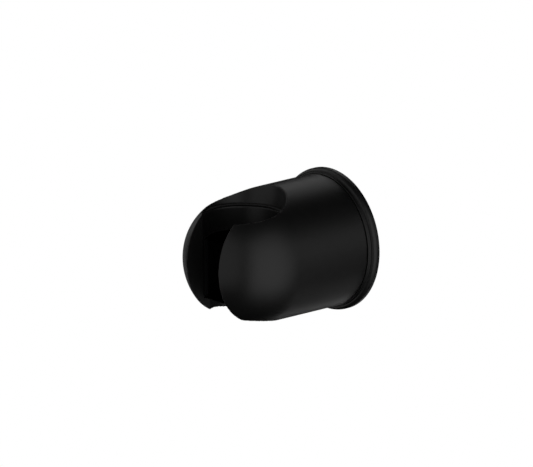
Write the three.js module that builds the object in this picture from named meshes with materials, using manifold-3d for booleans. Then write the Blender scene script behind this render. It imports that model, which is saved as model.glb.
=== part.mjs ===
// A wall holder for a handheld shower: a domed, slotted cradle that swivels on a round wall rosette.
//
// Millimetres. The wall is the plane y = 0 and the holder stands out from it towards -y, with +z up.
// Turned pieces are described by pairs of radius and "depth", the distance out from the wall.

import * as THREE from 'three';
import * as BufferGeometryUtils from 'three/addons/utils/BufferGeometryUtils.js';
import Module from 'manifold-3d';

const wasm = await Module();
wasm.setup();

// ---------- driving dimensions ----------

const GAP = 0.3; // clearance between neighbouring pieces

// the rosette and the cradle's outside
const ROSETTE = {
  radius: 22.5, rimDepth: 1.0, shoulderRadius: 21.3, shoulderDepth: 2.5,
  collarRadius: 21.15, collarFoot: { radius: 21.25, depth: 2.6 }, faceDepth: 3.4,
};
const BODY = { backDepth: 3.7, backRadius: 20.9, frontRadius: 20.65, domeDepth: 30.5, noseDepth: 53.5 };
const DOME = { sidePull: 20.0, nosePull: 6.0, steps: 14 }; // lengths of the dome curve's two handles

// the upright bore and the slot in front of it
const BORE = { depth: 36.0, mouthRadius: 13.3, mouthHeight: 19.0, throatRadius: 12.35, seatRadius: 11.95 };
const GROOVE = { radius: 13.2, top: 14.1, bottom: 13.45, cover: 0.6 };
const HOSE_BORE = { radius: 10.65, ledgeHeight: 6.6, lipHeight: -12.3, lipRadius: 10.05 };
const SLOT = { halfWidth: 7.45 };

// the hub wall inside the cradle
const HUB = {
  backDepth: 11.9, recessRadius: 7.7, recessDepth: 13.2, floorDepth: 16.4, counterboreRadius: 5.5,
  cavityRadius: 18.2, ribRadius: 13.9, ribDepth: 19.5,
};

// the wall plate and what is stacked on it, from the wall outwards
const PLATE = { radius: 16.5, thickness: 2.1, bossRadius: 8.0, bossDepth: 9.0, noseRadius: 5.0, noseDepth: 10.2 };
const PLATE_HOLES = { spacing: 25, width: 4.5, length: 7.0 };
const DISC = { radius: 14.6, backDepth: 9.3, thickness: 1.2, trackRadius: 11, holeRadius: 1.5 };
const FRICTION_WASHER = { backDepth: 10.8, thickness: 0.8, radius: 7.4 };
const SLEEVE = { inner: 2.8, outer: 3.5 };
const BUSH = { inner: 3.8, outer: 4.6, flangeRadius: 7.4, flangeThickness: 1.0 };
const WAVE_WASHER = { inner: 3.8, outer: 5.1, thickness: 0.4, swing: 0.3, waves: 3 };
const HEAD_WASHER = { outer: 5.2, thickness: 0.8 };
const SCREW = { shankRadius: 2.5, tipDepth: 2.2, headRadius: 4.3, headHeight: 2.6, keyRadius: 2.2, keyDepth: 1.6 };

// the swivel's stops and clicks
const SWIVEL_LIMIT = 45; // degrees either way
const CLICK_ANGLES = [-45, -22.5, 0, 22.5, 45];
const BALL = { radius: 1.9 };
const SPRING = { coilRadius: 1.5, wireRadius: 0.28, turns: 5.5, length: 5.2, steps: 66 };
const STOP_PIN = { radius: 1.4, length: 6.2 };

// seals and rings
const GASKET = { inner: 18.2, outer: 20.4, thickness: 1.0 };
const SLIP_RING = { inner: 17.9, outer: 19.6, backDepth: 2.8, frontDepth: 3.5 };
const O_RING = { radius: 8.95, sectionRadius: 0.6, depth: 2.95 };

const FINE = 72; // sides of the pieces that show
const MEDIUM = 40; // sides of the hidden turned pieces
const COARSE = 20; // sides of pins, balls and small holes
const REACH = 80; // how far a cutter runs past the piece it cuts

// ---------- finishes ----------

const matteBlack = new THREE.MeshStandardMaterial({ color: 0x0b0b0b, roughness: 0.5, metalness: 0.1 });
const blackPlastic = new THREE.MeshStandardMaterial({ color: 0x0d0d0d, roughness: 0.6, metalness: 0 });
const palePlastic = new THREE.MeshStandardMaterial({ color: 0xd8d5cb, roughness: 0.6, metalness: 0 });
const steel = new THREE.MeshStandardMaterial({ color: 0x9a9b9e, roughness: 0.35, metalness: 1 });
const brass = new THREE.MeshStandardMaterial({ color: 0xb08d4a, roughness: 0.4, metalness: 1 });
const blackRubber = new THREE.MeshStandardMaterial({ color: 0x141414, roughness: 0.9, metalness: 0 });

// ---------- shape helpers ----------

const radians = THREE.MathUtils.degToRad;

/** A ring or disc turned about the y axis, from [radius, depth] pairs in order round its section. */
function turned(pairs, sides = MEDIUM) {
  const points = pairs.map(([radius, depth]) => new THREE.Vector2(radius, -depth));
  const onAxis = points[0].x === 0 && points[points.length - 1].x === 0;
  const outline = onAxis ? points : [...points, points[0].clone()];
  const insideOut = THREE.ShapeUtils.area(outline) < 0;
  return new THREE.LatheGeometry(insideOut ? outline.reverse() : outline, sides);
}

/** A plain disc or tube between two depths; an inner radius of 0 makes it solid. */
function barrel(inner, outer, back, front, sides = MEDIUM) {
  return turned([[inner, back], [outer, back], [outer, front], [inner, front]], sides);
}

/** A turned shape standing upright on the bore's axis, from [radius, height] pairs. */
function upright(pairs, sides = FINE) {
  const shape = turned(pairs.map(([radius, height]) => [radius, -height]), sides);
  return shape.rotateX(Math.PI / 2).translate(0, -BORE.depth, 0);
}

/** A shape made about the y axis, moved out to an angle and radius round it. */
function placed(geometry, angle, radius) {
  return geometry.translate(radius * Math.cos(angle), 0, radius * Math.sin(angle));
}

/** The same shape on the detent's place at the top of the hub, or on the stop pin's at the bottom. */
const atDetent = (geometry) => placed(geometry, Math.PI / 2, DISC.trackRadius);
const atStop = (geometry) => placed(geometry, -Math.PI / 2, DISC.trackRadius);

/** A closed geometry as a solid that can be cut and joined. */
function solid(geometry) {
  const bare = geometry.clone();
  bare.deleteAttribute('normal');
  bare.deleteAttribute('uv');
  const merged = BufferGeometryUtils.mergeVertices(bare, 1e-5);
  const mesh = new wasm.Mesh({
    numProp: 3,
    vertProperties: new Float32Array(merged.attributes.position.array),
    triVerts: new Uint32Array(merged.index.array),
  });
  mesh.merge();
  return new wasm.Manifold(mesh);
}

/** A solid back as a geometry. */
function geometryOf(body) {
  const mesh = body.getMesh();
  const geometry = new THREE.BufferGeometry();
  geometry.setAttribute('position', new THREE.BufferAttribute(new Float32Array(mesh.vertProperties), 3));
  geometry.setIndex(new THREE.BufferAttribute(new Uint32Array(mesh.triVerts), 1));
  geometry.computeVertexNormals();
  return geometry;
}

/** The first geometry with all the others taken out of it. */
function cut(base, ...tools) {
  return geometryOf(tools.reduce((body, tool) => body.subtract(solid(tool)), solid(base)));
}

/** The part that two geometries share. */
function shared(first, second) {
  return geometryOf(solid(first).intersect(solid(second)));
}

/** Two blocks that leave a flat on the top and the bottom of a nose of the given radius. */
function flatsFor(radius, back, front) {
  return [-1, 1].map((side) => new THREE.BoxGeometry(REACH, front - back, radius)
    .translate(0, -(back + front) / 2, side * 1.3 * radius));
}

// ---------- shared outlines ----------

/** The cradle's outside, closed at the back and offset inwards, as a solid of revolution. */
function cradleOutside(offset = 0) {
  const side = BODY.frontRadius - offset;
  const nose = BODY.noseDepth - offset;
  const dome = new THREE.CubicBezierCurve(
    new THREE.Vector2(side, BODY.domeDepth),
    new THREE.Vector2(side, BODY.domeDepth + DOME.sidePull),
    new THREE.Vector2(DOME.nosePull, nose),
    new THREE.Vector2(0, nose),
  );
  const curve = dome.getPoints(DOME.steps).map((point) => [point.x, point.y]);
  return turned([[0, BODY.backDepth], [BODY.backRadius - offset, BODY.backDepth], ...curve], FINE);
}

/** The upright slot that lets the hose into the bore. */
function slotCutter() {
  const slot = new THREE.BoxGeometry(2 * SLOT.halfWidth, REACH, REACH);
  return slot.translate(0, -BORE.depth - REACH / 2, 0);
}

/** The bore's wall: a mouth cone, a slimmer seat cone, a straight part, and the hole in the bottom lip. */
function boreCutter() {
  const slope = (BORE.mouthRadius - BORE.throatRadius) / (BORE.mouthHeight - GROOVE.top);
  const clearTop = BORE.mouthHeight + 4;
  return upright([[0, -REACH], [HOSE_BORE.lipRadius, -REACH], [HOSE_BORE.lipRadius, HOSE_BORE.lipHeight],
    [BORE.seatRadius, HOSE_BORE.lipHeight], [BORE.seatRadius, HOSE_BORE.ledgeHeight],
    [BORE.throatRadius, GROOVE.bottom], [BORE.throatRadius, GROOVE.top],
    [BORE.throatRadius + slope * (clearTop - GROOVE.top), clearTop], [0, clearTop]]);
}

/** A ring in the bore wall that stays a given cover below the cradle's outside. */
function ringUnderSkin(inner, outer, bottom, top, cover) {
  const ring = upright([[inner, bottom], [outer, bottom], [outer, top], [inner, top]]);
  return shared(ring, cradleOutside(cover));
}

const discFront = DISC.backDepth + DISC.thickness;
const ballDepth = discFront + GAP + BALL.radius;
const waveBack = HUB.floorDepth + GAP + WAVE_WASHER.swing;
const headWasherBack = waveBack + WAVE_WASHER.thickness + WAVE_WASHER.swing + GAP;
const headSeat = headWasherBack + HEAD_WASHER.thickness + GAP;

// ---------- the pieces of the cradle, which turns ----------

/** The cast shell: drum, domed front, upright bore, slot, and the hub wall that carries the pivot. */
function cradleShell() {
  const grooveTool = ringUnderSkin(BORE.throatRadius - 2, GROOVE.radius, GROOVE.bottom, GROOVE.top, GROOVE.cover);
  return cut(
    cradleOutside(),
    barrel(0, HUB.cavityRadius, -REACH, HUB.backDepth, FINE),
    barrel(HUB.ribRadius, HUB.cavityRadius, HUB.backDepth - 1, HUB.ribDepth, FINE),
    barrel(0, HUB.recessRadius, HUB.backDepth - 1, HUB.recessDepth),
    barrel(0, BUSH.outer + GAP, HUB.recessDepth - 1, HUB.floorDepth + 1),
    barrel(0, HUB.counterboreRadius, HUB.floorDepth, BORE.depth),
    atDetent(barrel(0, BALL.radius + GAP, 0, ballDepth + BALL.radius + SPRING.length + 2 * GAP, COARSE)),
    atStop(barrel(0, STOP_PIN.radius + GAP, 0, DISC.backDepth + STOP_PIN.length + 2 * GAP, COARSE)),
    boreCutter(),
    grooveTool,
    slotCutter(),
  );
}

/** The rubber ring in the groove near the mouth, open at the slot, that keeps the handset from rattling. */
function gripRing() {
  const fit = GAP / 2;
  const ring = ringUnderSkin(BORE.throatRadius + 0.25, GROOVE.radius - fit, GROOVE.bottom + fit, GROOVE.top - fit,
    GROOVE.cover + GAP);
  return cut(ring, slotCutter());
}

/** The plastic sleeve that lines the hose bore and hides the pivot screw; its top is the ledge. */
function hoseSleeve() {
  const sleeve = upright([[HOSE_BORE.radius, HOSE_BORE.lipHeight + GAP], [BORE.seatRadius - GAP / 2,
    HOSE_BORE.lipHeight + GAP], [BORE.seatRadius - GAP / 2, HOSE_BORE.ledgeHeight],
  [HOSE_BORE.radius, HOSE_BORE.ledgeHeight]]);
  return cut(sleeve, slotCutter());
}

/** The flanged bush in the hub wall that turns on the pivot sleeve. */
function pivotBush() {
  const back = HUB.recessDepth - GAP - BUSH.flangeThickness;
  const step = HUB.recessDepth - GAP;
  return turned([[BUSH.inner, back], [BUSH.flangeRadius, back], [BUSH.flangeRadius, step], [BUSH.outer, step],
    [BUSH.outer, HUB.floorDepth], [BUSH.inner, HUB.floorDepth]]);
}

/** The wave spring washer that keeps the swivel stiff. */
function waveWasher() {
  const { inner, outer, thickness, swing, waves } = WAVE_WASHER;
  const washer = barrel(inner, outer, waveBack, waveBack + thickness);
  const place = washer.attributes.position;
  for (let i = 0; i < place.count; i += 1) {
    const angle = Math.atan2(place.getZ(i), place.getX(i));
    place.setY(i, place.getY(i) + swing * Math.cos(waves * angle));
  }
  return washer;
}

/** The steel ball that clicks into the index disc, standing just clear of it. */
function detentBall() {
  const ball = new THREE.SphereGeometry(BALL.radius, COARSE, COARSE / 2);
  return atDetent(ball.translate(0, -ballDepth, 0));
}

/** The centre line of the spring behind the ball. */
class SpringLine extends THREE.Curve {
  getPoint(t, target = new THREE.Vector3()) {
    const angle = t * SPRING.turns * 2 * Math.PI;
    const back = ballDepth + BALL.radius + GAP + SPRING.wireRadius;
    const depth = back + t * (SPRING.length - 2 * SPRING.wireRadius);
    return target.set(SPRING.coilRadius * Math.cos(angle), -depth, SPRING.coilRadius * Math.sin(angle));
  }
}

/** The coil spring behind the ball. */
function detentSpring() {
  const wire = new THREE.Shape().absarc(0, 0, SPRING.wireRadius, 0, 2 * Math.PI);
  const coil = new THREE.ExtrudeGeometry(wire, { steps: SPRING.steps, curveSegments: 6, extrudePath: new SpringLine() });
  return atDetent(coil);
}

/** The pin that runs in the index disc's slot and stops the swivel. */
function stopPin() {
  const back = DISC.backDepth + GAP;
  return atStop(barrel(0, STOP_PIN.radius, back, back + STOP_PIN.length, COARSE));
}

// ---------- the pieces fixed to the wall ----------

/** The turned rosette that covers the wall plate, with recesses for the gasket and the slip ring. */
function rosette() {
  const { radius, rimDepth, shoulderRadius, shoulderDepth, collarRadius, collarFoot, faceDepth } = ROSETTE;
  const pocketRadius = PLATE.radius + GAP;
  const pocketDepth = PLATE.thickness + GAP;
  const gasketDepth = GASKET.thickness + GAP;
  const slipDepth = SLIP_RING.backDepth - GAP;
  const innerRadius = O_RING.radius + O_RING.sectionRadius + GAP;
  const shoulder = [0, 15, 30, 45, 60, 75, 90].map((angle) => [
    shoulderRadius + (radius - shoulderRadius) * Math.cos(radians(angle)),
    rimDepth + (shoulderDepth - rimDepth) * Math.sin(radians(angle)),
  ]);
  return turned([[innerRadius, pocketDepth], [pocketRadius, pocketDepth], [pocketRadius, 0],
    [GASKET.inner - GAP, 0], [GASKET.inner - GAP, gasketDepth], [GASKET.outer + GAP, gasketDepth],
    [GASKET.outer + GAP, 0], [radius, 0], ...shoulder, [collarFoot.radius, collarFoot.depth],
    [collarRadius, faceDepth], [SLIP_RING.outer + GAP, faceDepth],
    [SLIP_RING.outer + GAP, slipDepth], [SLIP_RING.inner - GAP, slipDepth], [SLIP_RING.inner - GAP, faceDepth],
    [innerRadius, faceDepth]], FINE);
}

/** The brass plate screwed to the wall, with the flatted boss that carries everything. */
function wallPlate() {
  const { radius, thickness, bossRadius, bossDepth, noseRadius, noseDepth } = PLATE;
  const threadRadius = SCREW.shankRadius + GAP;
  const holeBottom = SCREW.tipDepth - GAP;
  const body = turned([[0, 0], [radius, 0], [radius, thickness], [bossRadius, thickness], [bossRadius, bossDepth],
    [noseRadius, bossDepth], [noseRadius, noseDepth], [threadRadius, noseDepth], [threadRadius, holeBottom],
    [0, holeBottom]]);
  const holes = [-1, 1].map((side) => slottedHole().translate(side * PLATE_HOLES.spacing / 2, 0, 0));
  return cut(body, ...flatsFor(noseRadius, bossDepth, noseDepth + 1), ...holes);
}

/** An upright screw slot with round ends, right through the plate. */
function slottedHole() {
  const end = PLATE_HOLES.width / 2;
  const straight = (PLATE_HOLES.length - PLATE_HOLES.width) / 2;
  const outline = new THREE.Shape();
  outline.absarc(0, straight, end, 0, Math.PI);
  outline.absarc(0, -straight, end, Math.PI, 2 * Math.PI);
  const depth = 4 * PLATE.thickness;
  const hole = new THREE.ExtrudeGeometry(outline, { depth, bevelEnabled: false, curveSegments: 8 });
  return hole.translate(0, 0, -depth / 2).rotateX(Math.PI / 2);
}

/** The steel disc keyed to the boss: click holes above, and the stop pin's slot below. */
function indexDisc() {
  const { radius, backDepth, trackRadius, holeRadius } = DISC;
  const keyRadius = PLATE.noseRadius + GAP;
  const keyHole = cut(barrel(0, keyRadius, 0, discFront + 1), ...flatsFor(keyRadius, -1, discFront + 2));
  const clicks = CLICK_ANGLES.map((angle) => placed(barrel(0, holeRadius, 0, discFront + 1, COARSE),
    radians(90 + angle), trackRadius));
  return cut(barrel(0, radius, backDepth, discFront), keyHole, stopSlot(), ...clicks);
}

/** The curved slot that the stop pin runs in. */
function stopSlot() {
  const { trackRadius } = DISC;
  const half = STOP_PIN.radius + GAP;
  const start = -Math.PI / 2 - radians(SWIVEL_LIMIT);
  const finish = -Math.PI / 2 + radians(SWIVEL_LIMIT);
  const centre = (angle) => [trackRadius * Math.cos(angle), trackRadius * Math.sin(angle)];
  const outline = new THREE.Shape();
  outline.absarc(0, 0, trackRadius + half, start, finish, false);
  outline.absarc(...centre(finish), half, finish, finish + Math.PI, false);
  outline.absarc(0, 0, trackRadius - half, finish, start, true);
  outline.absarc(...centre(start), half, start + Math.PI, start + 2 * Math.PI, false);
  const slot = new THREE.ExtrudeGeometry(outline, { depth: 2 * discFront, bevelEnabled: false, curveSegments: 12 });
  return slot.rotateX(Math.PI / 2);
}

/** The pivot screw, with a hexagon socket in its head. */
function pivotScrew() {
  const { shankRadius, tipDepth, headRadius, headHeight, keyRadius, keyDepth } = SCREW;
  const crown = headSeat + headHeight;
  const body = turned([[0, tipDepth], [shankRadius - 0.5, tipDepth], [shankRadius, tipDepth + 0.5],
    [shankRadius, headSeat], [headRadius, headSeat], [headRadius, crown - 0.9], [headRadius - 0.9, crown],
    [0, crown]]);
  return cut(body, barrel(0, keyRadius, crown - keyDepth, crown + 1, 6));
}

// ---------- the assembly ----------

const holder = new THREE.Group();
const cradle = new THREE.Group();
const wallMount = new THREE.Group();
holder.add(cradle, wallMount);

/** Adds one named piece to a group. */
function add(group, name, geometry, material) {
  const mesh = new THREE.Mesh(geometry, material);
  mesh.name = name;
  group.add(mesh);
}

add(cradle, 'cradle_shell', cradleShell(), matteBlack);
add(cradle, 'grip_ring', gripRing(), blackRubber);
add(cradle, 'hose_sleeve', hoseSleeve(), blackPlastic);
add(cradle, 'pivot_bush', pivotBush(), palePlastic);
add(cradle, 'wave_washer', waveWasher(), steel);
add(cradle, 'detent_ball', detentBall(), steel);
add(cradle, 'detent_spring', detentSpring(), steel);
add(cradle, 'stop_pin', stopPin(), steel);

add(wallMount, 'rosette', rosette(), matteBlack);
add(wallMount, 'slip_ring', barrel(SLIP_RING.inner, SLIP_RING.outer, SLIP_RING.backDepth, SLIP_RING.frontDepth, FINE),
  blackPlastic);
add(wallMount, 'wall_gasket', barrel(GASKET.inner, GASKET.outer, 0, GASKET.thickness), blackRubber);
add(wallMount, 'rosette_o_ring', new THREE.TorusGeometry(O_RING.radius, O_RING.sectionRadius, 8, MEDIUM)
  .rotateX(Math.PI / 2).translate(0, -O_RING.depth, 0), blackRubber);
add(wallMount, 'wall_plate', wallPlate(), brass);
add(wallMount, 'index_disc', indexDisc(), steel);
add(wallMount, 'friction_washer', barrel(BUSH.inner, FRICTION_WASHER.radius, FRICTION_WASHER.backDepth,
  FRICTION_WASHER.backDepth + FRICTION_WASHER.thickness), palePlastic);
add(wallMount, 'pivot_sleeve', barrel(SLEEVE.inner, SLEEVE.outer, PLATE.noseDepth + GAP, headWasherBack - GAP), brass);
add(wallMount, 'head_washer', barrel(SLEEVE.inner, HEAD_WASHER.outer, headWasherBack,
  headWasherBack + HEAD_WASHER.thickness), steel);
add(wallMount, 'pivot_screw', pivotScrew(), steel);

export default holder;
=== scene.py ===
"""A wall holder for a handheld shower: its looks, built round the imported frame.

Every piece is worked in millimetres with the wall as the plane y = 0, the holder standing out towards -y and
+z up, and is scaled to metres when it is fitted. Turned pieces are given as pairs of radius and distance along
their spindle: "depth" out from the wall, or "height" on the upright bore.
"""

import logging
import math
from dataclasses import dataclass, field
from enum import Enum
from typing import Any, Callable, Sequence, Union

import bmesh
import bpy
from mathutils import Matrix, Vector

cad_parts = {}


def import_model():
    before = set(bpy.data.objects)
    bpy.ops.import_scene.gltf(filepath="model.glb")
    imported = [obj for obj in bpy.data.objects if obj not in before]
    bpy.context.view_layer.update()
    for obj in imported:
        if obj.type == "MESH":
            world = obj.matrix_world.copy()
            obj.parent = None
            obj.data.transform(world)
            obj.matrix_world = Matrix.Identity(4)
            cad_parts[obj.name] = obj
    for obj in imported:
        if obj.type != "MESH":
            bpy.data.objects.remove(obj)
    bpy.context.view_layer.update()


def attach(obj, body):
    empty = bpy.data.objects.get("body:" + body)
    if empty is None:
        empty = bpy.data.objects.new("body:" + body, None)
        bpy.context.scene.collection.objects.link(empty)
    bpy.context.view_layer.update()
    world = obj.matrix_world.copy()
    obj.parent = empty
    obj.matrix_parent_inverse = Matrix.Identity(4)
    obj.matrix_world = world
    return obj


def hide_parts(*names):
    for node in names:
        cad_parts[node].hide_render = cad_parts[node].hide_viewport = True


LOG = logging.getLogger("shower_holder")

Pair = tuple[float, float]
Colour = tuple[float, float, float]
Operand = Union["Signal", float]

MM = 0.001  # metres in a millimetre
WELD = 0.0005  # corners closer than this, in millimetres, are one
FULL_TURN = 2 * math.pi


# ---------- the bench: meshes in millimetres ----------


class Spindle(Enum):
    """The two directions that pieces are turned about."""

    OUT = (0.0, -1.0, 0.0)
    UP = (0.0, 0.0, 1.0)


class Carve(Enum):
    """What a tool does to a workpiece."""

    REMOVE = "DIFFERENCE"
    KEEP_SHARED = "INTERSECT"


@dataclass(frozen=True)
class Lathe:
    """Turns outlines into solids about a spindle through a centre.

    Args:
        spindle: the direction of the turning axis.
        centre: a point on the axis, in millimetres.
        sides: how many steps make a full turn.
    """

    spindle: Spindle = Spindle.OUT
    centre: tuple[float, float, float] = (0.0, 0.0, 0.0)
    sides: int = 192

    def at(self, pair: Pair) -> Vector:
        """Returns the place of a pair of radius and distance along the spindle."""
        radius, along = pair
        return Vector(self.centre) + Vector((radius, 0, 0)) + along * Vector(self.spindle.value)

    def turn(self, outline: Sequence[Pair]) -> "Workpiece":
        """Turns an outline a full turn.

        Args:
            outline: pairs of radius and distance; one that starts and ends on the axis gives a solid, any
                other is closed on itself and gives a ring.

        Returns:
            The turned workpiece.
        """
        mesh = bmesh.new()
        corners = [mesh.verts.new(self.at(pair)) for pair in outline]
        runs = [mesh.edges.new(ends) for ends in zip(corners, corners[1:])]
        if outline[0][0] > 0 or outline[-1][0] > 0:
            runs.append(mesh.edges.new((corners[-1], corners[0])))
        bmesh.ops.spin(mesh, geom=corners + runs, cent=self.centre, axis=self.spindle.value, angle=FULL_TURN,
                       steps=self.sides, use_merge=True)
        return Workpiece.of(mesh)

    def tube(self, inner: float, outer: float, start: float, end: float) -> "Workpiece":
        """Turns a plain tube, or a solid rod when the inner radius is 0."""
        return self.turn([(inner, start), (outer, start), (outer, end), (inner, end)])


@dataclass
class Workpiece:
    """A mesh on the bench, in millimetres, that can be cut, softened and fitted.

    Args:
        item: the Blender object that carries the mesh.
    """

    item: bpy.types.Object

    @classmethod
    def of(cls, mesh: bmesh.types.BMesh) -> "Workpiece":
        """Makes a workpiece of a bmesh: doubles merged, faces turned outwards.

        Args:
            mesh: the bmesh, which is freed.

        Returns:
            The new workpiece.
        """
        bmesh.ops.remove_doubles(mesh, verts=mesh.verts, dist=WELD)
        bmesh.ops.dissolve_degenerate(mesh, edges=mesh.edges, dist=WELD)
        bmesh.ops.recalc_face_normals(mesh, faces=mesh.faces)
        data = bpy.data.meshes.new("workpiece")
        mesh.to_mesh(data)
        mesh.free()
        item = bpy.data.objects.new("workpiece", data)
        bpy.context.scene.collection.objects.link(item)
        return cls(item)

    @classmethod
    def block(cls, low: Sequence[float], high: Sequence[float]) -> "Workpiece":
        """Makes a block between two corners."""
        mesh = bmesh.new()
        bmesh.ops.create_cube(mesh, size=1)
        size = Vector(high) - Vector(low)
        bmesh.ops.scale(mesh, vec=size, verts=mesh.verts)
        bmesh.ops.translate(mesh, vec=Vector(low) + size / 2, verts=mesh.verts)
        return cls.of(mesh)

    def reshape(self, change: Callable[[bmesh.types.BMesh], Any]) -> "Workpiece":
        """Runs a change on the mesh.

        Args:
            change: a function that alters a bmesh in place.

        Returns:
            The same workpiece.
        """
        mesh = bmesh.new()
        mesh.from_mesh(self.item.data)
        change(mesh)
        mesh.to_mesh(self.item.data)
        mesh.free()
        return self

    def modify(self, kind: str, **settings: Any) -> "Workpiece":
        """Adds a modifier.

        Args:
            kind: the modifier's type.
            settings: its properties.

        Returns:
            The same workpiece.
        """
        modifier = self.item.modifiers.new(kind.lower(), kind)
        for name, value in settings.items():
            setattr(modifier, name, value)
        return self

    def settle(self) -> "Workpiece":
        """Applies the waiting modifiers and returns the same workpiece."""
        bpy.context.view_layer.update()
        graph = bpy.context.evaluated_depsgraph_get()
        rough = self.item.data
        worked = bpy.data.meshes.new_from_object(self.item.evaluated_get(graph))
        self.item.modifiers.clear()
        self.item.data = worked
        bpy.data.meshes.remove(rough)
        return self

    def carve(self, *tools: "Workpiece", how: Carve = Carve.REMOVE) -> "Workpiece":
        """Cuts the workpiece with others, which are used up.

        Args:
            tools: the cutting shapes.
            how: whether they take metal away or leave only what is shared.

        Returns:
            The same workpiece.
        """
        for tool in tools:
            self.modify("BOOLEAN", operation=how.value, solver="EXACT", object=tool.item)
        self.settle()
        for tool in tools:
            bpy.data.meshes.remove(tool.item.data)
        return self.reshape(lambda mesh: bmesh.ops.remove_doubles(mesh, verts=mesh.verts, dist=WELD))

    def soften(self, width: float, segments: int = 3, corner: float = 25.0) -> "Workpiece":
        """Rounds every sharp edge.

        Args:
            width: how far the rounding reaches from the edge.
            segments: how many faces round it.
            corner: the least angle, in degrees, that counts as sharp.

        Returns:
            The same workpiece.
        """

        def bevel(mesh: bmesh.types.BMesh) -> None:
            """Bevels the edges that are sharper than the corner angle."""
            limit = math.radians(corner)
            bmesh.ops.dissolve_limit(mesh, angle_limit=math.radians(0.05), verts=mesh.verts, edges=mesh.edges)
            sharp = [edge for edge in mesh.edges if edge.is_manifold and edge.calc_face_angle() > limit]
            bmesh.ops.bevel(mesh, geom=sharp, offset=width, offset_type="OFFSET", segments=segments,
                            profile=0.5, affect="EDGES", material=-1, clamp_overlap=True)

        return self.reshape(bevel)

    def cast(self, grain: float, passes: int, keep: float) -> "Workpiece":
        """Rebuilds the mesh as one even skin whose edges are rounded like a casting's.

        Args:
            grain: the size of the skin's cells.
            passes: how many times the skin is smoothed.
            keep: the share of the skin's faces that is kept.

        Returns:
            The same workpiece.
        """
        self.modify("REMESH", mode="VOXEL", voxel_size=grain, use_smooth_shade=True)
        self.modify("SMOOTH", factor=0.5, iterations=passes)
        if keep < 1:
            self.modify("DECIMATE", decimate_type="COLLAPSE", ratio=keep)
        return self.settle()

    def fit(self, name: str, body: str, node: str, slot: str, finish: "Finish") -> bpy.types.Object:
        """Makes the workpiece a finished piece of the holder.

        Args:
            name: the piece's name.
            body: the body that it moves with.
            node: the frame's node that it stands for.
            slot: not used.
            finish: the finish it is given.

        Returns:
            The finished object.
        """
        item = self.item
        item.data.shade_smooth()
        self.modify("WEIGHTED_NORMAL", keep_sharp=True, weight=80).settle()
        item.data.transform(Matrix.Scale(MM, 4))
        item.name = item.data.name = name
        item.data.materials.clear()
        item.data.materials.append(finish.material())
        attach(item, body)
        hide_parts(node)
        LOG.info("%s: %d faces for %s on %s", name, len(item.data.polygons), node, body)
        return item


# ---------- finishes ----------


class Signal:
    """A shader socket that takes part in sums.

    Args:
        shop: the paint shop whose tree holds the socket.
        socket: the output socket.
    """

    def __init__(self, shop: "PaintShop", socket: bpy.types.NodeSocket) -> None:
        """Keeps the socket and its shop."""
        self.shop = shop
        self.socket = socket

    def _join(self, operation: str, *inputs: Operand) -> "Signal":
        """Adds a Math node for an operation on some inputs."""
        return self.shop.node("ShaderNodeMath", {"operation": operation}, dict(enumerate(inputs)))

    def __add__(self, other: Operand) -> "Signal":
        """Returns self + other."""
        return self._join("ADD", self, other)

    __radd__ = __add__

    def __mul__(self, other: Operand) -> "Signal":
        """Returns self * other."""
        return self._join("MULTIPLY", self, other)

    __rmul__ = __mul__

    def __sub__(self, other: Operand) -> "Signal":
        """Returns self - other."""
        return self._join("SUBTRACT", self, other)

    def __rsub__(self, other: Operand) -> "Signal":
        """Returns other - self."""
        return self._join("SUBTRACT", other, self)

    def __pow__(self, other: Operand) -> "Signal":
        """Returns self to the power of other."""
        return self._join("POWER", self, other)


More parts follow.
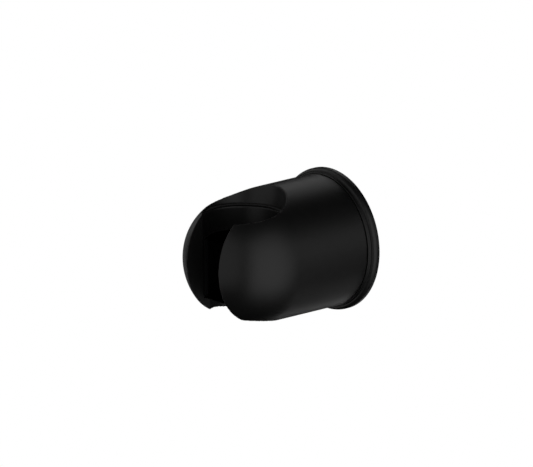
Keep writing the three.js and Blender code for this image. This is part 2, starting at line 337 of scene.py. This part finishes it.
class PaintShop:
    """Builds one material's nodes.

    Args:
        name: the material's name.
    """

    def __init__(self, name: str) -> None:
        """Makes an empty material with a Principled shader on its output."""
        self.paint = bpy.data.materials.new(name)
        self.paint.use_nodes = True
        self.tree = self.paint.node_tree
        self.tree.nodes.clear()
        self.shader = self.tree.nodes.new("ShaderNodeBsdfPrincipled")
        output = self.tree.nodes.new("ShaderNodeOutputMaterial")
        self.tree.links.new(self.shader.outputs[0], output.inputs["Surface"])

    def node(self, kind: str, settings: dict[str, Any], sockets: dict[Union[str, int], Any],
             output: Union[str, int] = 0) -> Signal:
        """Adds a node.

        Args:
            kind: the node's type.
            settings: its properties, set first.
            sockets: the values or links of its inputs.
            output: which output to hand back.

        Returns:
            The chosen output.
        """
        made = self.tree.nodes.new(kind)
        for name, value in settings.items():
            setattr(made, name, value)
        for name, value in sockets.items():
            self.feed(made.inputs[name], value)
        return Signal(self, made.outputs[output])

    def feed(self, socket: bpy.types.NodeSocket, value: Any) -> None:
        """Sets a socket to a value, or links a signal to it."""
        if isinstance(value, Signal):
            self.tree.links.new(value.socket, socket)
        else:
            socket.default_value = value

    def place(self) -> Signal:
        """Returns the place on the piece."""
        return self.node("ShaderNodeTexCoord", {}, {}, "Object")

    def grain(self, size: float, detail: float = 2.0, rough: float = 0.5) -> Signal:
        """Returns a soft noise with cells of a size in millimetres."""
        return self.node("ShaderNodeTexNoise", {"noise_dimensions": "3D"}, {
            "Vector": self.place(), "Scale": 1 / (size * MM), "Detail": detail, "Roughness": rough})

    def turning(self, spacing: float) -> Signal:
        """Returns fine rings round the pivot, as a lathe tool leaves them.

        Args:
            spacing: the distance between rings, in millimetres.

        Returns:
            A noise that changes only with the distance from the pivot's axis.
        """
        flat = self.node("ShaderNodeVectorMath", {"operation": "MULTIPLY"}, {0: self.place(), 1: (1, 0, 1)})
        radius = self.node("ShaderNodeVectorMath", {"operation": "LENGTH"}, {0: flat}, "Value")
        return self.node("ShaderNodeTexNoise", {"noise_dimensions": "1D"}, {
            "W": radius * (1 / (spacing * MM)), "Scale": 1.0, "Detail": 3.0})

    def blend(self, low: Colour, high: Colour, share: Signal) -> Signal:
        """Returns a colour between two, as a signal says."""
        return self.node("ShaderNodeMix", {"data_type": "RGBA"}, {0: share, 6: (*low, 1.0), 7: (*high, 1.0)}, 2)

    def relief(self, height: Signal, depth: float) -> Signal:
        """Returns a normal that follows a height whose full range is a depth in millimetres."""
        return self.node("ShaderNodeBump", {}, {"Strength": 1.0, "Distance": depth * MM, "Height": height})

    def finish(self, **sockets: Any) -> bpy.types.Material:
        """Sets the shader's sockets, named with underscores for spaces, and returns the material."""
        for name, value in sockets.items():
            self.feed(self.shader.inputs[name.replace("_", " ")], value)
        return self.paint


@dataclass(frozen=True)
class Finish:
    """A finish, made into a material once however many pieces wear it.

    Args:
        name: the material's name.
    """

    name: str

    def material(self) -> bpy.types.Material:
        """Returns the finish's material, making it the first time."""
        return bpy.data.materials.get(self.name) or self.mix(PaintShop(self.name))

    def mix(self, shop: PaintShop) -> bpy.types.Material:
        """Builds the material's nodes and returns it."""
        raise NotImplementedError


@dataclass(frozen=True)
class BakedCoat(Finish):
    """A matte coat baked on metal: near black, with a fine, even tooth.

    Args:
        tone: how much light the coat gives back.
        roughness: the coat's middle roughness.
        tooth: the size of the coat's fine grain, in millimetres.
        tooth_depth: how deep that grain is, in millimetres.
        flow: the size of the slow waves left as the coat flowed out.
        flow_depth: how deep those waves are.
    """

    tone: float = 0.006
    roughness: float = 0.40
    tooth: float = 0.16
    tooth_depth: float = 0.004
    flow: float = 2.4
    flow_depth: float = 0.004

    def mix(self, shop: PaintShop) -> bpy.types.Material:
        """Builds the coat: tone and roughness drift a little, and two grains give it relief."""
        tooth = shop.grain(self.tooth, detail=1.0)
        flow = shop.grain(self.flow, detail=1.0)
        low, high = (self.tone * share for share in (0.8, 1.2))
        return shop.finish(
            Base_Color=shop.blend((low,) * 3, (high,) * 3, flow),
            Roughness=self.roughness + 0.06 * (tooth - 0.5) + 0.03 * (flow - 0.5),
            Normal=shop.relief(self.tooth_depth * tooth + self.flow_depth * flow, 1.0),
        )


@dataclass(frozen=True)
class Moulding(Finish):
    """Moulded plastic with the fine even texture of its mould.

    Args:
        colour: the plastic's colour.
        roughness: its middle roughness.
        texture: the size of the mould's texture, in millimetres.
        texture_depth: how deep the texture is.
    """

    colour: Colour = (0.006, 0.006, 0.0065)
    roughness: float = 0.45
    texture: float = 0.12
    texture_depth: float = 0.005

    def mix(self, shop: PaintShop) -> bpy.types.Material:
        """Builds the plastic: a fine texture, and a slow change where it cooled unevenly."""
        texture = shop.grain(self.texture, detail=2.0)
        cooling = shop.grain(6.0)
        low = tuple(0.88 * part for part in self.colour)
        high = tuple(1.12 * part for part in self.colour)
        return shop.finish(
            Base_Color=shop.blend(low, high, cooling),
            Roughness=self.roughness + 0.10 * (texture - 0.5) + 0.06 * (cooling - 0.5),
            Normal=shop.relief(texture, self.texture_depth),
        )


@dataclass(frozen=True)
class Rubber(Finish):
    """Moulded black rubber with a dry bloom on it.

    Args:
        tone: the rubber's own tone.
        bloom: the tone of the bloom.
        roughness: its middle roughness.
    """

    tone: float = 0.014
    bloom: float = 0.03
    roughness: float = 0.72

    def mix(self, shop: PaintShop) -> bpy.types.Material:
        """Builds the rubber: patches of bloom over a fine pebbled skin."""
        pebble = shop.grain(0.2, detail=2.0)
        patches = shop.grain(3.5, detail=3.0)
        return shop.finish(
            Base_Color=shop.blend((self.tone,) * 3, (self.bloom,) * 3, patches ** 2.0),
            Roughness=self.roughness + 0.12 * (pebble - 0.5) + 0.1 * (patches - 0.5),
            Normal=shop.relief(pebble, 0.012),
        )


@dataclass(frozen=True)
class TurnedMetal(Finish):
    """Bare metal with the rings that turning leaves.

    Args:
        colour: the metal's colour.
        tarnish: the colour where it has dulled.
        roughness: its middle roughness.
        spacing: the distance between tool rings, in millimetres.
    """

    colour: Colour = (0.56, 0.57, 0.59)
    tarnish: Colour = (0.40, 0.40, 0.41)
    roughness: float = 0.30
    spacing: float = 0.18

    def mix(self, shop: PaintShop) -> bpy.types.Material:
        """Builds the metal: tool rings in its relief and gloss, and dull patches."""
        rings = shop.turning(self.spacing)
        patches = shop.grain(4.0, detail=4.0, rough=0.6)
        return shop.finish(
            Base_Color=shop.blend(self.colour, self.tarnish, patches ** 1.5),
            Metallic=1.0,
            Roughness=self.roughness + 0.16 * (rings - 0.5) + 0.16 * (patches - 0.5),
            Normal=shop.relief(rings, 0.012),
        )


COAT = BakedCoat("matte_black_coat")
BLACK_PLASTIC = Moulding("black_moulding")
BEARING_PLASTIC = Moulding("bearing_moulding", colour=(0.70, 0.68, 0.62), roughness=0.42, texture=0.3)
RUBBER = Rubber("black_rubber_skin")
STEEL = TurnedMetal("turned_steel")
SPRING_STEEL = TurnedMetal("rolled_steel", roughness=0.24, spacing=0.6)
BRASS = TurnedMetal("turned_brass", colour=(0.72, 0.52, 0.25), tarnish=(0.46, 0.31, 0.15), roughness=0.34,
                    spacing=0.26)


class Body(Enum):
    """The two bodies of the holder."""

    CRADLE = "cradle"
    WALL = "wall_mount"


# ---------- sub-assemblies ----------

GAP = 0.3  # clearance between neighbouring pieces
REACH = 80.0  # how far a cutter runs past the piece it cuts
DETENT_PLACE = (0.0, 0.0, 11.0)  # the click ball's axis, above the pivot
STOP_PLACE = (0.0, 0.0, -11.0)  # the stop pin's axis, below it
SMALL_SIDES = 48  # steps of a turn on pins and small holes


def flats(radius: float, back: float, front: float) -> list[Workpiece]:
    """Makes the blocks that leave a flat on the top and the bottom of a nose.

    Args:
        radius: the nose's radius.
        back: the depth where the flats start.
        front: the depth where they end.

    Returns:
        Two blocks.
    """
    return [Workpiece.block((-REACH, -front, min(0.8 * side, 1.8 * side) * radius),
                            (REACH, -back, max(0.8 * side, 1.8 * side) * radius)) for side in (-1, 1)]


def dome_curve(ends: Sequence[Pair], steps: int) -> list[Pair]:
    """Follows a Bezier curve.

    Args:
        ends: its start, two handles and end, as pairs.
        steps: how many runs it is drawn in.

    Returns:
        The pairs along it.
    """
    corners = [Vector(end) for end in ends]
    pairs = []
    for step in range(steps + 1):
        share = step / steps
        weights = [math.comb(3, power) * share ** power * (1 - share) ** (3 - power) for power in range(4)]
        spot = sum((weight * corner for weight, corner in zip(weights, corners)), Vector((0, 0)))
        pairs.append((spot.x, spot.y))
    return pairs


@dataclass(frozen=True)
class CradleOutside:
    """The drum and its domed front."""

    back_depth: float = 3.62
    back_radius: float = 20.9
    front_radius: float = 20.65
    dome_depth: float = 30.5
    nose_depth: float = 53.5
    side_pull: float = 20.0
    nose_pull: float = 6.0
    steps: int = 48

    def turn(self, offset: float = 0.0) -> Workpiece:
        """Turns the outside as a solid.

        Args:
            offset: how far it is drawn in, in millimetres.

        Returns:
            The workpiece.
        """
        side = self.front_radius - offset
        nose = self.nose_depth - offset
        dome = dome_curve([(side, self.dome_depth), (side, self.dome_depth + self.side_pull),
                           (self.nose_pull, nose), (0.0, nose)], self.steps)
        return Lathe().turn([(0.0, self.back_depth), (self.back_radius - offset, self.back_depth), *dome])


@dataclass
class Cradle:
    """The casting that turns, with the rubber and the sleeve in its bore."""

    outside: CradleOutside = field(default_factory=CradleOutside)
    bore_depth: float = 36.0
    mouth_radius: float = 13.3
    mouth_height: float = 19.0
    throat_radius: float = 12.35
    seat_radius: float = 11.95
    groove_radius: float = 13.2
    groove_top: float = 14.1
    groove_bottom: float = 13.45
    groove_cover: float = 0.6
    bead_radius: float = 12.2
    bead_lap: float = 0.15
    lip_chamfer: float = 0.26
    lip_rise: float = 0.04
    hose_radius: float = 10.65
    ledge_height: float = 6.6
    lip_height: float = -12.3
    lip_radius: float = 10.05
    sleeve_edge: float = 0.12
    slot_half: float = 7.45
    hub_back: float = 11.9
    recess_radius: float = 7.7
    recess_depth: float = 13.2
    bush_radius: float = 4.9
    floor_depth: float = 16.4
    counterbore: float = 5.5
    cavity_radius: float = 18.2
    rib_radius: float = 13.9
    rib_depth: float = 19.5
    ball_hole: Pair = (2.2, 20.4)
    pin_hole: Pair = (1.7, 16.1)
    grain: float = 0.22
    edge_passes: int = 3
    keep: float = 0.31

    @property
    def bore(self) -> Lathe:
        """The lathe set upright on the bore."""
        return Lathe(Spindle.UP, (0.0, -self.bore_depth, 0.0))

    def slot(self) -> Workpiece:
        """Returns the block that opens the bore to the front."""
        return Workpiece.block((-self.slot_half, -REACH, -REACH), (self.slot_half, -self.bore_depth, REACH))

    def bore_tool(self) -> Workpiece:
        """Returns the bore: mouth cone, straight part, seat cone, and the hole in the bottom lip."""
        slope = (self.mouth_radius - self.throat_radius) / (self.mouth_height - self.groove_top)
        top = self.mouth_height + 4
        chamfer = self.lip_chamfer
        return self.bore.turn([
            (0, -REACH), (self.lip_radius, -REACH), (self.lip_radius, self.lip_height),
            (self.seat_radius, self.lip_height), (self.seat_radius, self.ledge_height),
            (self.throat_radius, self.groove_bottom - chamfer), (self.throat_radius + chamfer, self.groove_bottom
                                                                 + self.lip_rise),
            (self.throat_radius, self.groove_bottom + chamfer), (self.throat_radius, self.groove_top),
            (self.throat_radius + slope * (top - self.groove_top), top), (0, top)])

    def ring(self, inner: float, outer: float, bottom: float, top: float, cover: float) -> Workpiece:
        """Turns a ring in the bore that stays a cover below the outside."""
        return self.bore.tube(inner, outer, bottom, top).carve(self.outside.turn(cover), how=Carve.KEEP_SHARED)

    def core_tool(self) -> Workpiece:
        """Returns all that is turned out of the casting from behind, as one tool."""
        return Lathe().turn([
            (0, -REACH), (self.cavity_radius, -REACH), (self.cavity_radius, self.rib_depth),
            (self.rib_radius, self.rib_depth), (self.rib_radius, self.hub_back),
            (self.recess_radius, self.hub_back), (self.recess_radius, self.recess_depth),
            (self.bush_radius, self.recess_depth), (self.bush_radius, self.floor_depth),
            (self.counterbore, self.floor_depth), (self.counterbore, self.bore_depth), (0, self.bore_depth)])

    def casting(self) -> Workpiece:
        """Returns the shell: outside, bore, slot, and the hub wall that carries the pivot."""
        return self.outside.turn().carve(
            self.core_tool(),
            Lathe(centre=DETENT_PLACE, sides=SMALL_SIDES).tube(0, self.ball_hole[0], 0, self.ball_hole[1]),
            Lathe(centre=STOP_PLACE, sides=SMALL_SIDES).tube(0, self.pin_hole[0], 0, self.pin_hole[1]),
            self.bore_tool(),
            self.ring(self.throat_radius - 2, self.groove_radius, self.groove_bottom, self.groove_top,
                      self.groove_cover),
            self.slot(),
        ).cast(self.grain, self.edge_passes, self.keep)

    def grip(self) -> Workpiece:
        """Returns the rubber in the groove near the mouth, open at the slot, with a rounded bead inwards."""
        fit = GAP / 2
        low, high = self.groove_bottom + fit, self.groove_top + self.bead_lap
        half = (high - low) / 2
        angles = [math.radians(angle) for angle in range(-90, 91, 15)]
        bead = [(self.bead_radius + half - half * math.cos(angle), low + half + half * math.sin(angle))
                for angle in angles]
        ring = self.bore.turn([(self.groove_radius - fit, low), *bead, (self.groove_radius - fit, high)])
        under_skin = self.outside.turn(self.groove_cover + GAP)
        return ring.carve(under_skin, how=Carve.KEEP_SHARED).carve(self.slot())

    def sleeve(self) -> Workpiece:
        """Returns the sleeve that lines the hose bore; its top is the ledge."""
        tube = self.bore.tube(self.hose_radius, self.seat_radius - GAP / 2, self.lip_height + GAP,
                              self.ledge_height)
        return tube.carve(self.slot()).soften(self.sleeve_edge)

    def build(self) -> None:
        """Makes and fits the cradle's three outer pieces."""
        body = Body.CRADLE.value
        self.casting().fit("cradle_casting", body, "cradle_shell", "black_coating", COAT)
        self.grip().fit("grip_rubber", body, "grip_ring", "black_rubber", RUBBER)
        self.sleeve().fit("hose_liner", body, "hose_sleeve", "black_plastic", BLACK_PLASTIC)


@dataclass
class WallCover:
    """The rosette with its joint ring, gasket and O-ring."""

    radius: float = 22.5
    rim_depth: float = 1.0
    shoulder: Pair = (21.3, 2.5)
    collar_foot: Pair = (21.25, 2.5)
    collar_radius: float = 21.15
    face_depth: float = 3.48
    pocket_radius: float = 16.8
    pocket_depth: float = 2.4
    gasket: tuple[float, float, float] = (18.2, 20.4, 1.0)
    slip: tuple[float, float, float, float] = (17.9, 19.6, 2.8, 3.5)
    seal: tuple[float, float, float] = (8.95, 0.6, 2.95)

    def rosette(self) -> Workpiece:
        """Returns the turned cover: collar, rounded shoulder and rim in front, recesses behind."""
        slip_in, slip_out, slip_back, _ = self.slip
        gasket_in, gasket_out, gasket_depth = self.gasket
        centre, section, _ = self.seal
        inner = centre + section + GAP
        reach = self.radius - self.shoulder[0]
        drop = self.shoulder[1] - self.rim_depth
        angles = [math.radians(angle) for angle in range(0, 91, 6)]
        shoulder = [(self.shoulder[0] + reach * math.cos(angle), self.rim_depth + drop * math.sin(angle))
                    for angle in angles[:-1]]
        return Lathe().turn([
            (inner, self.pocket_depth), (self.pocket_radius, self.pocket_depth), (self.pocket_radius, 0),
            (gasket_in - GAP, 0), (gasket_in - GAP, gasket_depth + GAP), (gasket_out + GAP, gasket_depth + GAP),
            (gasket_out + GAP, 0), (self.radius, 0), *shoulder, self.collar_foot,
            (self.collar_radius, self.face_depth), (slip_out + GAP, self.face_depth),
            (slip_out + GAP, slip_back - GAP), (slip_in - GAP, slip_back - GAP),
            (slip_in - GAP, self.face_depth), (inner, self.face_depth),
        ]).soften(0.12)

    def o_ring(self) -> Workpiece:
        """Returns the round rubber ring that holds the cover on the boss."""
        centre, section, depth = self.seal
        angles = [math.radians(angle) for angle in range(0, 360, 15)]
        return Lathe().turn([(centre + section * math.cos(angle), depth + section * math.sin(angle))
                             for angle in angles])

    def build(self) -> None:
        """Makes and fits the cover's pieces."""
        body = Body.WALL.value
        inner, outer, depth = self.gasket
        self.rosette().fit("rosette_cover", body, "rosette", "black_coating", COAT)
        Lathe().tube(*self.slip).soften(0.12).fit("joint_ring", body, "slip_ring", "black_plastic", BLACK_PLASTIC)
        Lathe().tube(inner, outer, 0, depth).soften(0.2).fit("gasket_rubber", body, "wall_gasket", "black_rubber",
                                                             RUBBER)
        self.o_ring().fit("boss_seal", body, "rosette_o_ring", "black_rubber", RUBBER)


@dataclass
class WallPlate:
    """The brass plate that is screwed to the wall, with the flatted boss that carries the pivot."""

    radius: float = 16.5
    thickness: float = 2.1
    boss_radius: float = 8.0
    boss_depth: float = 9.0
    nose_radius: float = 5.0
    nose_depth: float = 10.2
    thread_radius: float = 2.8
    thread_floor: float = 1.9
    screw_place: float = 12.5
    slot_width: float = 4.5
    slot_length: float = 7.0

    def screw_slot(self, side: int) -> list[Workpiece]:
        """Returns the tools of one upright screw slot.

        Args:
            side: -1 for the slot at -x, 1 for the one at +x.

        Returns:
            A block and two rods with round ends.
        """
        half = self.slot_width / 2
        run = (self.slot_length - self.slot_width) / 2
        across = side * self.screw_place
        rods = [Lathe(centre=(across, 0.0, end), sides=SMALL_SIDES).tube(0, half, -1, 2 * self.thickness)
                for end in (-run, run)]
        block = Workpiece.block((across - half, -2 * self.thickness + 0.01, -run), (across + half, 1, run))
        return [block, *rods]

    def build(self) -> None:
        """Makes and fits the plate."""
        plate = Lathe().turn([
            (0, 0), (self.radius, 0), (self.radius, self.thickness), (self.boss_radius, self.thickness),
            (self.boss_radius, self.boss_depth), (self.nose_radius, self.boss_depth),
            (self.nose_radius, self.nose_depth), (self.thread_radius, self.nose_depth),
            (self.thread_radius, self.thread_floor), (0, self.thread_floor)])
        plate.carve(*flats(self.nose_radius, self.boss_depth, self.nose_depth + 1),
                    *self.screw_slot(-1), *self.screw_slot(1)).soften(0.2)
        plate.fit("plate_brass", Body.WALL.value, "wall_plate", "brass", BRASS)


@dataclass
class IndexDisc:
    """The steel disc keyed to the boss, with the click holes and the stop pin's curved slot."""

    radius: float = 14.6
    back: float = 9.3
    front: float = 10.5
    track: float = 11.0
    hole_radius: float = 1.5
    slot_half: float = 1.7
    key_radius: float = 5.3
    clicks: tuple[float, ...] = (-45, -22.5, 0, 22.5, 45)
    limit: float = 45.0

    def hole(self, angle: float, radius: float) -> Workpiece:
        """Returns a rod through the track at an angle, in degrees, from the x axis."""
        turn = math.radians(angle)
        centre = (self.track * math.cos(turn), 0.0, self.track * math.sin(turn))
        return Lathe(centre=centre, sides=SMALL_SIDES).tube(0, radius, 0, self.front + 1)

    def stop_slot(self) -> list[Workpiece]:
        """Returns the tools of the curved slot: a bent bar and a rod at each end."""
        mesh = bmesh.new()
        low, high = self.track - self.slot_half, self.track + self.slot_half
        corners = [(low, 0.2), (high, 0.2), (high, self.front + 0.9), (low, self.front + 0.9)]
        face = mesh.faces.new([mesh.verts.new(Lathe().at(corner)) for corner in corners])
        start = Matrix.Rotation(math.radians(90 - self.limit), 3, "Y")
        bmesh.ops.rotate(mesh, cent=(0, 0, 0), matrix=start, verts=mesh.verts)
        bmesh.ops.spin(mesh, geom=[face], cent=(0, 0, 0), axis=(0, 1, 0), angle=math.radians(2 * self.limit),
                       steps=SMALL_SIDES)
        rods = [self.hole(-90 + end * self.limit, self.slot_half) for end in (-1, 1)]
        return [Workpiece.of(mesh), *rods]

    def build(self) -> None:
        """Makes and fits the disc."""
        key = Lathe().tube(0, self.key_radius, 0, self.front + 1)
        key.carve(*flats(self.key_radius, -1, self.front + 2))
        disc = Lathe().tube(0, self.radius, self.back, self.front)
        for tool in (key, *self.stop_slot(), *(self.hole(90 + click, self.hole_radius) for click in self.clicks)):
            disc.carve(tool)
        disc.soften(0.1).fit("click_disc", Body.WALL.value, "index_disc", "steel", STEEL)


@dataclass
class Pivot:
    """The screw, spacer, washers and bush that the cradle turns on."""

    spacer: tuple[float, float, float, float] = (2.8, 3.5, 10.5, 17.7)
    friction: tuple[float, float, float, float] = (3.8, 7.4, 10.8, 11.6)
    flat: tuple[float, float, float, float] = (2.8, 5.2, 18.0, 18.8)
    wave: tuple[float, float, float, float] = (3.8, 5.1, 17.0, 17.4)
    wave_swing: float = 0.3
    waves: int = 3
    shank: float = 2.5
    tip: float = 2.2
    seat: float = 19.1
    head: float = 4.3
    crown: float = 21.7
    crown_edge: float = 0.9
    key_radius: float = 2.2
    key_depth: float = 1.6
    bush: tuple[float, float, float] = (3.8, 4.6, 7.4)
    bush_depths: tuple[float, float, float] = (11.9, 12.9, 16.4)

    def screw(self) -> Workpiece:
        """Returns the screw, with a hexagon socket in its head."""
        edge = self.crown_edge
        body = Lathe(sides=96).turn([
            (0, self.tip), (self.shank - 0.5, self.tip), (self.shank, self.tip + 0.5), (self.shank, self.seat),
            (self.head, self.seat), (self.head, self.crown - edge), (self.head - edge, self.crown),
            (0, self.crown)])
        socket = Lathe(sides=6).tube(0, self.key_radius, self.crown - self.key_depth, self.crown + 1)
        return body.carve(socket).soften(0.12)

    def wave_washer(self) -> Workpiece:
        """Returns the washer that is bent into waves."""

        def bend(mesh: bmesh.types.BMesh) -> None:
            """Moves every corner along the spindle by its place round it."""
            for vert in mesh.verts:
                vert.co.y += self.wave_swing * math.cos(self.waves * math.atan2(vert.co.z, vert.co.x))

        return Lathe().tube(*self.wave).soften(0.06).reshape(bend)

    def flanged_bush(self) -> Workpiece:
        """Returns the bush pressed in the hub."""
        bore, sleeve, flange = self.bush
        back, step, front = self.bush_depths
        return Lathe().turn([(bore, back), (flange, back), (flange, step), (sleeve, step), (sleeve, front),
                             (bore, front)]).soften(0.1)

    def build(self) -> None:
        """Makes and fits the pivot's pieces."""
        wall, cradle = Body.WALL.value, Body.CRADLE.value
        lathe = Lathe(sides=96)
        self.screw().fit("pivot_bolt", wall, "pivot_screw", "steel", STEEL)
        lathe.tube(*self.spacer).soften(0.1).fit("spacer_brass", wall, "pivot_sleeve", "brass", BRASS)
        lathe.tube(*self.flat).soften(0.1).fit("washer_flat", wall, "head_washer", "steel", STEEL)
        lathe.tube(*self.friction).soften(0.1).fit("washer_friction", wall, "friction_washer", "bearing_plastic",
                                                   BEARING_PLASTIC)
        self.wave_washer().fit("washer_wave", cradle, "wave_washer", "steel", SPRING_STEEL)
        self.flanged_bush().fit("bush_flanged", cradle, "pivot_bush", "bearing_plastic", BEARING_PLASTIC)


@dataclass
class Detent:
    """The click ball with its spring, and the stop pin."""

    ball_radius: float = 1.9
    ball_depth: float = 12.7
    coil_radius: float = 1.5
    wire_radius: float = 0.28
    turns: float = 5.5
    spring_back: float = 15.18
    spring_run: float = 4.64
    steps_a_turn: int = 28
    pin_radius: float = 1.4
    pin_depths: Pair = (9.6, 15.8)

    def ball(self) -> Workpiece:
        """Returns the ball."""
        mesh = bmesh.new()
        bmesh.ops.create_icosphere(mesh, subdivisions=4, radius=self.ball_radius)
        bmesh.ops.translate(mesh, vec=Lathe(centre=DETENT_PLACE).at((0, self.ball_depth)), verts=mesh.verts)
        return Workpiece.of(mesh)

    def spring(self) -> Workpiece:
        """Returns the coil: a round wire section swept round the axis as it moves along."""
        mesh = bmesh.new()
        steps = int(self.turns * self.steps_a_turn)
        wire = bmesh.ops.create_circle(mesh, cap_ends=True, segments=12, radius=self.wire_radius)
        start = Lathe(centre=DETENT_PLACE).at((self.coil_radius, self.spring_back))
        bmesh.ops.translate(mesh, vec=start, verts=wire["verts"])
        turned = bmesh.ops.spin(
            mesh, geom=mesh.faces[:], cent=DETENT_PLACE, axis=Spindle.OUT.value, steps=steps,
            angle=FULL_TURN * self.turns, dvec=Vector(Spindle.OUT.value) * (self.spring_run / steps))
        del turned
        return Workpiece.of(mesh)

    def build(self) -> None:
        """Makes and fits the detent's pieces."""
        cradle = Body.CRADLE.value
        pin = Lathe(centre=STOP_PLACE, sides=SMALL_SIDES).tube(0, self.pin_radius, *self.pin_depths)
        self.ball().fit("click_ball", cradle, "detent_ball", "steel", SPRING_STEEL)
        self.spring().fit("click_spring", cradle, "detent_spring", "steel", SPRING_STEEL)
        pin.soften(0.2).fit("pin_stop", cradle, "stop_pin", "steel", STEEL)


# ---------- the studio ----------


@dataclass(frozen=True)
class Softbox:
    """A soft light that faces the holder.

    Args:
        name: the light's name.
        azimuth: where it stands round the holder, in degrees; 0 is straight out from the wall, 90 is +x.
        elevation: how far above the horizon, in degrees.
        width: its width, in metres.
        height: its height, in metres.
        power: its power, in watts.
        distance: how far from the holder, in metres.
    """

    name: str
    azimuth: float
    elevation: float
    width: float
    height: float
    power: float
    distance: float = 1.2

    def hang(self) -> bpy.types.Object:
        """Makes the light and returns it."""
        lamp = bpy.data.lights.new(self.name, "AREA")
        lamp.shape = "RECTANGLE"
        lamp.size, lamp.size_y = self.width, self.height
        lamp.energy = self.power
        item = bpy.data.objects.new(self.name, lamp)
        item.location = Studio.towards(self.azimuth, self.elevation) * self.distance + Vector(Studio.AIM)
        item.rotation_euler = (math.radians(90 - self.elevation), 0, math.radians(self.azimuth))
        bpy.context.scene.collection.objects.link(item)
        return item


@dataclass
class Studio:
    """The floor, backdrop, lights and camera."""

    AIM = (0.0, -0.026, 0.0)  # the middle of the holder, in metres

    azimuth: float = 49.04
    elevation: float = 15.8
    distance: float = 1.125
    aside: float = -0.02001
    above: float = 0.00137
    lens: float = 244.1
    sensor: float = 36.0
    floor_drop: float = 0.4
    softboxes: tuple[Softbox, ...] = (
        Softbox("side_softbox", 85, 3, 1.70, 2.70, 7.4),
        Softbox("side_low_softbox", 85, -15, 1.70, 2.70, 3.55),
        Softbox("front_softbox", -5, 6, 1.90, 2.00, 4.75),
        Softbox("left_top_softbox", -77, 36, 0.75, 1.40, 1.85),
        Softbox("left_low_softbox", -60, -30, 0.50, 0.50, 0.55),
        Softbox("left_rim_strip", -100, -8, 0.50, 1.00, 0.36),
        Softbox("back_left_strip", -135, 32, 0.25, 0.64, 0.32),
        Softbox("back_far_left_strip", -151, 32, 0.25, 0.64, 0.30),
        Softbox("back_low_strip", -171, -40, 0.97, 0.27, 0.54),
        Softbox("back_right_strip", 141, 9, 0.29, 0.62, 0.36),
    )

    @staticmethod
    def towards(azimuth: float, elevation: float) -> Vector:
        """Returns the unit direction to a place round the holder."""
        around, up = math.radians(azimuth), math.radians(elevation)
        return Vector((math.sin(around) * math.cos(up), -math.cos(around) * math.cos(up), math.sin(up)))

    def camera(self) -> None:
        """Sets the camera."""
        lens = bpy.data.cameras.new("camera")
        lens.lens, lens.sensor_width = self.lens, self.sensor
        lens.clip_start, lens.clip_end = 0.05, 100
        item = bpy.data.objects.new("camera", lens)
        turn = math.radians(self.azimuth)
        tilt = math.radians(self.elevation)
        right = Vector((math.cos(turn), math.sin(turn), 0))
        upward = Vector((-math.sin(turn) * math.sin(tilt), math.cos(turn) * math.sin(tilt), math.cos(tilt)))
        item.location = (self.towards(self.azimuth, self.elevation) * self.distance + right * self.aside
                         + upward * self.above)
        item.rotation_euler = (math.pi / 2 - tilt, 0, turn)
        bpy.context.scene.collection.objects.link(item)
        bpy.context.scene.camera = item

    def floor(self) -> None:
        """Lays the pale floor and the sweep round it, which the camera sees but which throw no light."""
        shop = PaintShop("pale_floor")
        white = shop.finish(Base_Color=(0.0, 0.0, 0.0, 1.0), Roughness=1.0, Emission_Color=(1.0, 1.0, 1.0, 1.0),
                            Specular_IOR_Level=0.0,
                            Emission_Strength=1.0)
        mesh = bmesh.new()
        bmesh.ops.create_icosphere(mesh, subdivisions=5, radius=8.0)
        bmesh.ops.bisect_plane(mesh, geom=mesh.verts[:] + mesh.edges[:] + mesh.faces[:],
                               plane_co=(0, 0, -self.floor_drop), plane_no=(0, 0, -1), clear_outer=True)
        bmesh.ops.contextual_create(mesh, geom=[edge for edge in mesh.edges if edge.is_boundary])
        data = bpy.data.meshes.new("floor")
        mesh.to_mesh(data)
        mesh.free()
        data.materials.append(white)
        item = bpy.data.objects.new("floor", data)
        bpy.context.scene.collection.objects.link(item)
        item.visible_diffuse = item.visible_glossy = item.visible_shadow = False

    def air(self) -> None:
        """Sets the pale surroundings and the plain view of colour."""
        world = bpy.data.worlds.new("surroundings")
        world.use_nodes = True
        backdrop = world.node_tree.nodes["Background"]
        backdrop.inputs["Color"].default_value = (1.0, 1.0, 1.0, 1.0)
        backdrop.inputs["Strength"].default_value = 0.001
        scene = bpy.context.scene
        scene.world = world
        scene.view_settings.view_transform = "Standard"
        scene.view_settings.look = "None"

    def build(self) -> None:
        """Sets up everything round the holder."""
        self.camera()
        self.floor()
        self.air()
        for softbox in self.softboxes:
            softbox.hang()


def main() -> None:
    """Builds the studio and the holder's sub-assemblies in order."""
    logging.basicConfig(level=logging.INFO, format="%(name)s: %(message)s")
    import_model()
    Studio().build()
    for assembly in (Cradle(), WallCover(), WallPlate(), IndexDisc(), Pivot(), Detent()):
        assembly.build()


if __name__ == "__main__":
    main()
